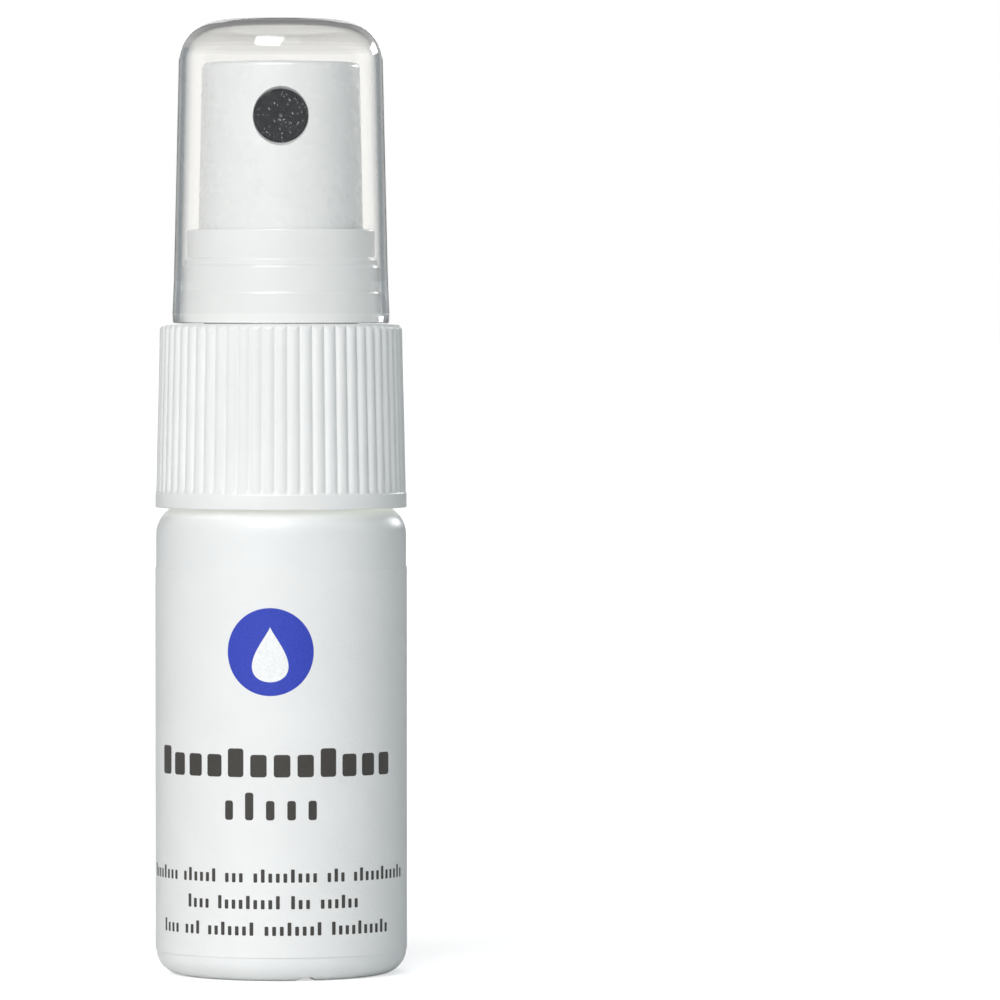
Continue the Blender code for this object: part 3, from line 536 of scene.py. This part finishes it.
def make_actuator():
    """Finger button with a dished top, stem socket, feed channel and nozzle pocket."""
    rim, foot = 90.2, 71.5
    hub_r, socket_r, channel_r = 3.2, STEM_HOLE_R, 0.6
    outline = rounded([
        (0.0, 89.6), (3.6, 89.72, 8.0), (7.0, rim, 0.8), (7.8, rim, 0.55), (8.2, foot, 0.2),
        (7.2, foot, 0.2), (6.8, 88.1, 0.5), (hub_r, 88.1, 0.5), (hub_r, 71.0, 0.2), (socket_r, 71.0, 0.2),
        (socket_r, 80.0, 0.1), (channel_r, 80.0), (channel_r, 87.5), (0.0, 87.5)], 8)
    button = turned("actuator_button", outline, actuator_white)
    front = facing("X", NOZZLE_HEIGHT)
    combine(button, rod("boss", 3.5, 2.0, 7.0, 96, front), "UNION")
    pocket_r, mouth_r = 2.66, 2.95
    pocket = rounded([
        (0.0, 4.2), (pocket_r, 4.2), (pocket_r, 7.3), (mouth_r, 8.0), (mouth_r, 9.0), (0.0, 9.0)])
    combine(button, turned("pocket", pocket, None, 96, front), "DIFFERENCE")
    combine(button, rod("feed", 0.45, 0.2, 4.4, 24, facing("X", 86.75)), "DIFFERENCE")
    combine(button, rod("post", 1.2, 3.9, 6.5, 48, front), "UNION")
    finished(button, "actuator_unit", "actuator_white", "actuator")


def make_insert():
    """Nozzle cup, open at the back, with a dimple round its orifice."""
    outer_r, bore_r, orifice_r = 2.62, 1.45, 0.16
    outline = rounded([
        (bore_r, 4.5), (2.45, 4.5, 0.1), (outer_r, 4.8, 0.1), (outer_r, 7.25, 0.1), (0.8, 7.2, 0.3),
        (0.45, 7.08, 0.2), (orifice_r, 7.0), (orifice_r, 6.75), (bore_r, 6.75)], 4)
    insert = turned("nozzle_cup", outline, nozzle_navy, 96, facing("X", NOZZLE_HEIGHT))
    finished(insert, "actuator_unit", "nozzle_navy", "nozzle_insert")


def make_overcap():
    """Clear cap that flares and thickens towards its foot; its inside has a material of its own."""
    top, ceiling, foot = 94.6, 93.9, 64.45
    outline = rounded([
        (0.0, top), (10.0, top, 4.3), (10.6, 68.6, 6.0), (10.75, 65.4, 0.6), (10.72, foot, 0.12),
        (10.1, foot, 0.12), (10.0, 67.6, 2.0), (9.4, ceiling, 3.6), (0.0, ceiling)], 16)
    cap = turned("overcap_clear", outline, clear_cap)
    cap.data.materials.append(clear_cap_inside)
    hollow = Vector((0.0, 0.0, 80.0 * MM))
    for polygon in cap.data.polygons:
        outward = polygon.normal.dot(polygon.center - hollow) > 0.0
        polygon.material_index = 0 if outward else 1
    cap.visible_shadow = False
    cap.visible_diffuse = False
    finished(cap, "overcap_unit", "clear_cap", "overcap")


make_collar()
make_actuator()
make_insert()
make_overcap()


# ---------------------------------------------------------------- print on the label

PRINT_MIDDLE = math.radians(-95.0)  # where the middle of the print lies, about +Z
INK_SINK = 0.005                    # how far ink reaches into what it is printed on
INK_RISE = 0.01                     # how far it stands proud
FACET = 0.4                         # width of the flat strips that follow the label's round
ON_PLANE = 1e-5                     # a point this near a cut counts as on it
OUTLINE_POINTS = 72
OUTLINE_TURNS = [2.0 * math.pi * index / OUTLINE_POINTS for index in range(OUTLINE_POINTS)]


def disc(middle, radius):
    """Round outline about (0, middle)."""
    return [(radius * math.cos(turn), middle + radius * math.sin(turn)) for turn in OUTLINE_TURNS]


def droplet(middle, size):
    """Tear-shaped outline about (0, middle) with its tip up."""
    points = []
    for turn in OUTLINE_TURNS:
        half_width = 0.95 * size * math.sin(turn) * math.sin(0.5 * turn) ** 1.5
        points.append((half_width, middle + size * math.cos(turn)))
    return points


def block(left, right, bottom, top, corner):
    """Rounded rectangle outline."""
    corners = [(right, bottom, -90.0), (right, top, 0.0), (left, top, 90.0), (left, bottom, 180.0)]
    points = []
    for x, z, start in corners:
        centre_x = x - corner if x == right else x + corner
        centre_z = z - corner if z == top else z + corner
        for step in range(4):
            turn = math.radians(start + 30.0 * step)
            points.append((centre_x + corner * math.cos(turn), centre_z + corner * math.sin(turn)))
    return points


def print_row(half_length, base, low, high, words, fill):
    """Plain blocks in word groups for one line of print, a few of them high instead of low.

    words are the numbers of blocks in each group, and fill is a block's share of its pitch.
    """
    slots = sum(words) + len(words) - 1
    pitch = 2.0 * half_length / (slots - 1 + fill)
    outlines = []
    slot = 0
    for word in words:
        for _ in range(word):
            left = -half_length + pitch * slot
            height = high if (3 * slot + word) % 4 == 0 else low
            outlines.append(block(left, left + fill * pitch, base, base + height, 0.12 * pitch))
            slot += 1
        slot += 1
    return outlines


def printed(name, outlines, finish, slot, ground=LABEL_R):
    """Lay flat outlines, (along, up) in millimetres, round the ground's radius as thin solid ink."""
    bm = bmesh.new()
    for outline in outlines:
        bm.faces.new([bm.verts.new((along, up, 0.0)) for along, up in outline])
    reach = max(vertex.co.x for vertex in bm.verts)
    cuts = math.floor(reach / FACET)
    for index in range(-cuts, cuts + 1):
        geometry = bm.verts[:] + bm.edges[:] + bm.faces[:]
        cut = (index * FACET, 0.0, 0.0)
        bmesh.ops.bisect_plane(bm, geom=geometry, dist=ON_PLANE, plane_co=cut, plane_no=(1.0, 0.0, 0.0))
    raised = bmesh.ops.extrude_face_region(bm, geom=bm.faces[:], use_keep_orig=True)["geom"]
    # until the points are laid round the label, z is 0 on the ink's inner face and 1 on its outer face
    for item in raised:
        if isinstance(item, bmesh.types.BMVert):
            item.co.z = 1.0
    for vertex in bm.verts:
        radius = ground + INK_RISE if vertex.co.z > 0.5 else ground - INK_SINK
        vertex.co = polar(radius * MM, PRINT_MIDDLE + vertex.co.x / LABEL_R, vertex.co.y * MM)
    finished(make_object(name, bm, finish), "bottle_unit", slot)


printed("print_disc", [disc(32.35, 4.3)], ink_blue, "label_ink_blue")
printed("print_droplet", [droplet(32.1, 2.7)], ink_white, "label_film", LABEL_R + INK_RISE)
ROWS = {
    "print_title": print_row(13.6, 20.1, 2.2, 2.8, [12], 0.7),
    "print_subtitle": print_row(4.6, 15.9, 1.9, 2.7, [5], 0.4),
    "print_line_1": print_row(16.4, 9.8, 0.9, 1.3, [8, 6, 3, 9, 3, 11], 0.5),
    "print_line_2": print_row(9.1, 7.2, 0.9, 1.3, [4, 9, 3, 6], 0.5),
    "print_line_3": print_row(13.3, 4.6, 0.9, 1.3, [4, 3, 7, 8, 10], 0.5),
}
for row_name, blocks in ROWS.items():
    printed(row_name, blocks, ink_dark, "label_ink_dark")


# ---------------------------------------------------------------- inner pieces

def make_housing():
    """Pump barrel with its flange, snap ring, ball seat, vent and dip-tube socket."""
    barrel_r, wall_r, flange_r, cup_r = 3.1, 3.9, 9.3, 5.6
    socket_r, cage_r, seat_r = 1.9, 1.5, 0.7
    outline = rounded([
        (socket_r, 36.0, 0.2), (2.7, 36.0, 0.25), (2.7, 41.2, 0.6), (wall_r, 42.4, 0.6),
        (wall_r, 56.6, 0.9), (6.9, 58.4, 0.9), (6.9, 61.6, 0.1), (flange_r, 61.6, 0.15),
        (flange_r, 62.6, 0.15), (6.65, 62.6, 0.15), (6.65, 63.6, 0.1), (6.55, 64.2, 0.2),
        (cup_r, 64.2, 0.15), (cup_r, 59.8, 0.2), (barrel_r, 59.8, 0.3), (barrel_r, 43.0, 0.1),
        (cage_r, 43.0, 0.1), (cage_r, 40.6, 0.1), (seat_r, 39.6, 0.1), (seat_r, 39.3, 0.1),
        (socket_r, 39.3, 0.1)], 5)
    housing = turned("pump_barrel", outline, natural_polymer, 96)
    combine(housing, rod("vent", 0.35, 2.8, 4.2, 24, facing("Y", 56.0)), "DIFFERENCE")
    finished(housing, "pump_unit", "natural_polymer", "pump_housing")


def make_gasket():
    """Foam washer with soft edges."""
    inner_r, outer_r = 7.4, 9.2
    low, high = 60.75, 61.45
    outline = rounded([
        (inner_r, low, 0.12), (outer_r, low, 0.2), (outer_r, high, 0.2), (inner_r, high, 0.12)])
    finished(turned("foam_washer", outline, gasket_foam), "pump_unit", "gasket_foam", "neck_gasket")


def make_dip_tube():
    """Suction tube: straight in its socket, then slowly bent to a slanted tip."""
    top, bend_start, tip = 39.1, 34.0, Vector((-3.0, 1.8, 2.6))
    outer, inner = 1.65, 1.15
    steps, sides = 48, 48
    slant = math.tan(math.radians(30.0))

    def level(step, radius):
        """Ring of points at one step down the tube; the lowest rings lie on the slanted cut."""
        height = top + (tip.z - top) * step / steps
        bend = max(0.0, (bend_start - height) / (bend_start - tip.z)) ** 2
        ring = []
        for side in range(sides):
            point = polar(radius, 2.0 * math.pi * side / sides, height)
            cut = tip.z + slant * (outer + point.y)
            point.z = max(height, cut)
            ring.append(MM * (point + Vector((tip.x * bend, tip.y * bend, 0.0))))
        return ring

    bm = bmesh.new()
    rings = [[bm.verts.new(point) for point in level(step, outer)] for step in range(steps + 1)]
    rings += [[bm.verts.new(point) for point in level(step, inner)] for step in range(steps, -1, -1)]
    for first, second in zip(rings, rings[1:] + rings[:1]):
        bridge(bm, first, second)
    bmesh.ops.remove_doubles(bm, verts=bm.verts[:], dist=0.001 * MM)
    tube = make_object("suction_tube", bm, natural_polymer)
    finished(tube, "pump_unit", "natural_polymer", "dip_tube")


def make_stem():
    """Hollow stem with its flange and feed port."""
    bore_r, wall_r, flange_r = 0.8, 1.75, 2.6
    low, high = 54.9, 79.8
    outline = rounded([
        (bore_r, low, 0.1), (wall_r, low, 0.15), (wall_r, 59.3, 0.15), (flange_r, 59.3, 0.12),
        (flange_r, 59.9, 0.12), (wall_r, 59.9, 0.2), (wall_r, high, 0.25), (bore_r, high, 0.15)], 4)
    stem = turned("pump_stem", outline, natural_polymer, 64)
    combine(stem, rod("port", 0.35, -2.2, 2.2, 24, facing("Y", 56.3)), "DIFFERENCE")
    finished(stem, "stem_unit", "natural_polymer", "stem")


def make_core():
    """Valve head and spring spigot on a pin that is pressed into the stem."""
    spigot_r, head_r, pin_r = 1.2, 2.4, 0.55
    outline = rounded([
        (0.0, 50.6), (spigot_r, 50.6, 0.35), (spigot_r, 53.6, 0.15), (head_r, 53.6, 0.12),
        (head_r, 54.2, 0.12), (2.0, 54.6, 0.1), (pin_r, 54.6, 0.1), (pin_r, 57.2, 0.2), (0.0, 57.2)], 4)
    plug = turned("valve_plug", outline, natural_polymer, 64)
    finished(plug, "stem_unit", "natural_polymer", "valve_core")


def make_piston():
    """Sliding seal with a thin lip at each end."""
    bore_r, ring_r, waist_r, lip_inner_r, lip_r = STEM_HOLE_R, 2.4, 2.6, 2.75, 3.0
    low, high = 54.9, 58.4
    outline = rounded([
        (bore_r, low, 0.1), (ring_r, low, 0.1), (ring_r, 55.4, 0.15), (lip_inner_r, low, 0.05),
        (lip_r, low, 0.05), (lip_r, 55.3, 0.2), (waist_r, 55.9, 0.4), (waist_r, 57.4, 0.4),
        (lip_r, 58.0, 0.2), (lip_r, high, 0.05), (lip_inner_r, high, 0.05), (ring_r, 57.9, 0.15),
        (ring_r, high, 0.1), (bore_r, high, 0.1)], 4)
    seal = turned("piston_seal", outline, piston_white, 96)
    finished(seal, "piston_unit", "piston_white", "piston")


def make_spring():
    """Compression spring with a closed turn at each end."""
    low, high = 43.2, 53.4
    coil, wire, turns, travel = 2.0, 0.45, 7, 4.5
    closed = 0.5
    per_turn, sides = 48, 12
    first, last = low + 0.5 * wire, high - 0.5 * wire

    def height(turn):
        """Height of the wire's middle; the first and the last turn rise by only closed."""
        if turn < 1.0:
            return first + closed * turn
        if turn > turns - 1.0:
            return last - closed * (turns - turn)
        return first + closed + (last - first - 2.0 * closed) * (turn - 1.0) / (turns - 2.0)

    sections = []
    for step in range(turns * per_turn + 1):
        turn = step / per_turn
        ring = []
        for side in range(sides):
            around = 2.0 * math.pi * side / sides
            radius = coil + 0.5 * wire * math.cos(around)
            rise = height(turn) + 0.5 * wire * math.sin(around)
            ring.append(polar(radius * MM, 2.0 * math.pi * turn, rise * MM))
        sections.append(ring)
    spring = swept("pump_spring", sections, spring_steel)
    finished(spring, "pump_unit", "spring_steel", "return_spring")
    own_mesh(spring)


def make_ball():
    """Check ball on its seat."""
    low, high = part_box("inlet_ball")
    bm = bmesh.new()
    bmesh.ops.create_icosphere(bm, subdivisions=4, radius=1.2 * MM)
    place = Matrix.Translation((0.0, 0.0, 0.5 * (low[2] + high[2])))
    finished(make_object("check_ball", bm, ball_steel, place), "ball_unit", "ball_steel", "inlet_ball")


make_housing()
make_gasket()
make_dip_tube()
make_stem()
make_core()
make_piston()
make_spring()
make_ball()


# ---------------------------------------------------------------- camera, floor and light

CAMERA_PLACE = Vector((0.0, -0.754, 0.0648))
CAMERA_PAN = math.radians(1.65)
CAMERA_DIP = math.radians(1.36)
FLOOR_GLOW = 0.58
FLOOR_DROP = 0.02 * MM
LIGHT_DISTANCE = 1.0
WHITE = (1.0, 1.0, 1.0)


def make_camera():
    """Long-lens camera a little above the middle of the object, panned to its right."""
    data = bpy.data.cameras.new("camera")
    data.sensor_width = 36.0
    data.lens = 273.6
    data.clip_start = 0.01
    data.clip_end = 20.0
    camera = bpy.data.objects.new("camera", data)
    camera.location = CAMERA_PLACE
    camera.rotation_euler = (math.radians(90.0) - CAMERA_DIP, 0.0, -CAMERA_PAN)
    scene.collection.objects.link(camera)
    scene.camera = camera


def seen_directly(tree):
    """1 for rays from the camera, also through the clear cap, and 0 for rays that only light a surface."""
    path = tree.nodes.new("ShaderNodeLightPath")
    seen = tree.nodes.new("ShaderNodeMath")
    seen.operation = "MAXIMUM"
    tree.links.new(path.outputs["Is Camera Ray"], seen.inputs[0])
    tree.links.new(path.outputs["Is Transmission Ray"], seen.inputs[1])
    return seen.outputs["Value"]


def make_floor():
    """Wide pale floor just under the object, as bright to look at as the surround away from shadows."""
    bm = bmesh.new()
    bmesh.ops.create_grid(bm, x_segments=1, y_segments=1, size=40.0)
    finish = Finish("floor", (0.9, 0.9, 0.9), 0.9, Specular_IOR_Level=0.0)
    finish.vary_colour(finish.noise(400.0, 2.0), (0.89, 0.89, 0.89))
    glow = finish.spread(seen_directly(finish.tree), 0.0, 1.0, 0.0, FLOOR_GLOW)
    finish.shader.inputs["Emission Color"].default_value = (*WHITE, 1.0)
    finish.tree.links.new(glow, finish.shader.inputs["Emission Strength"])
    floor = make_object("floor", bm, finish.material)
    floor.location.z = -FLOOR_DROP


def toward(azimuth, elevation):
    """Unit vector to a light; azimuth 0 is the camera's side and 90 the right."""
    azimuth = math.radians(azimuth)
    elevation = math.radians(elevation)
    level = math.cos(elevation)
    return Vector((math.sin(azimuth) * level, -math.cos(azimuth) * level, math.sin(elevation)))


def add_light(data, azimuth, elevation):
    """Place a light that faces the middle of the object."""
    away = toward(azimuth, elevation)
    light = bpy.data.objects.new(data.name, data)
    middle = Vector((0.0, 0.0, 0.5 * CAD_BOX[1].z))
    light.location = middle + LIGHT_DISTANCE * away
    light.rotation_euler = away.to_track_quat("Z", "Y").to_euler()
    scene.collection.objects.link(light)
    return light


def shading_sun(name, azimuth, elevation, strength, spread, colour=WHITE):
    """Broad far light, spread degrees wide, that shades surfaces evenly but leaves no highlight."""
    data = bpy.data.lights.new(name, "SUN")
    data.energy = strength
    data.angle = math.radians(spread)
    data.color = colour
    sun = add_light(data, azimuth, elevation)
    sun.visible_glossy = False
    sun.visible_transmission = False


def highlight_box(name, azimuth, elevation, width, height, radiance, colour=WHITE):
    """Soft box, sizes in metres, that shows only in gloss and through clear walls; returns the light."""
    data = bpy.data.lights.new(name, "AREA")
    data.shape = "RECTANGLE"
    data.size = width
    data.size_y = height
    data.energy = radiance * math.pi * width * height
    data.color = colour
    box = add_light(data, azimuth, elevation)
    box.visible_diffuse = False
    return box


def make_world():
    """Even surround: dim as a light, white to look at, and greyer towards the top."""
    world = bpy.data.worlds.new("studio")
    scene.world = world
    world.use_nodes = True
    tree = world.node_tree
    surround = tree.nodes["Background"]
    surround.inputs["Color"].default_value = (0.88, 0.97, 1.0, 1.0)
    surround.inputs["Strength"].default_value = 0.11
    backdrop = tree.nodes.new("ShaderNodeBackground")
    direction = tree.nodes.new("ShaderNodeTexCoord")
    split = tree.nodes.new("ShaderNodeSeparateXYZ")
    overhead = tree.nodes.new("ShaderNodeValToRGB")
    overhead.color_ramp.elements[0].position = 0.15
    overhead.color_ramp.elements[0].color = (*WHITE, 1.0)
    overhead.color_ramp.elements[1].position = 0.5
    overhead.color_ramp.elements[1].color = (0.38, 0.38, 0.39, 1.0)
    tree.links.new(direction.outputs["Generated"], split.inputs["Vector"])
    tree.links.new(split.outputs["Z"], overhead.inputs["Fac"])
    tree.links.new(overhead.outputs["Color"], backdrop.inputs["Color"])
    mix = tree.nodes.new("ShaderNodeMixShader")
    tree.links.new(seen_directly(tree), mix.inputs["Fac"])
    tree.links.new(surround.outputs["Background"], mix.inputs[1])
    tree.links.new(backdrop.outputs["Background"], mix.inputs[2])
    tree.links.new(mix.outputs["Shader"], tree.nodes["World Output"].inputs["Surface"])


make_camera()
make_floor()
make_world()
shading_sun("key_sun", -18.0, 30.0, 2.56, 60.0)
shading_sun("cool_sun", 80.0, 10.0, 0.14, 60.0, (0.2, 0.8, 1.0))
shading_sun("back_sun", -165.0, 25.0, 1.0, 30.0)
highlight_box("key_box", -19.0, 54.0, 0.44, 0.4, 10.0)
highlight_box("second_box", 12.0, 54.0, 0.4, 0.3, 1.2, (0.85, 0.93, 1.0))
highlight_box("rim_box", 143.0, 15.0, 0.2, 0.14, 18.0)
highlight_box("far_box", 180.0, 22.0, 0.5, 0.6, 2.2).visible_transmission = False
scene.view_settings.view_transform = "Standard"
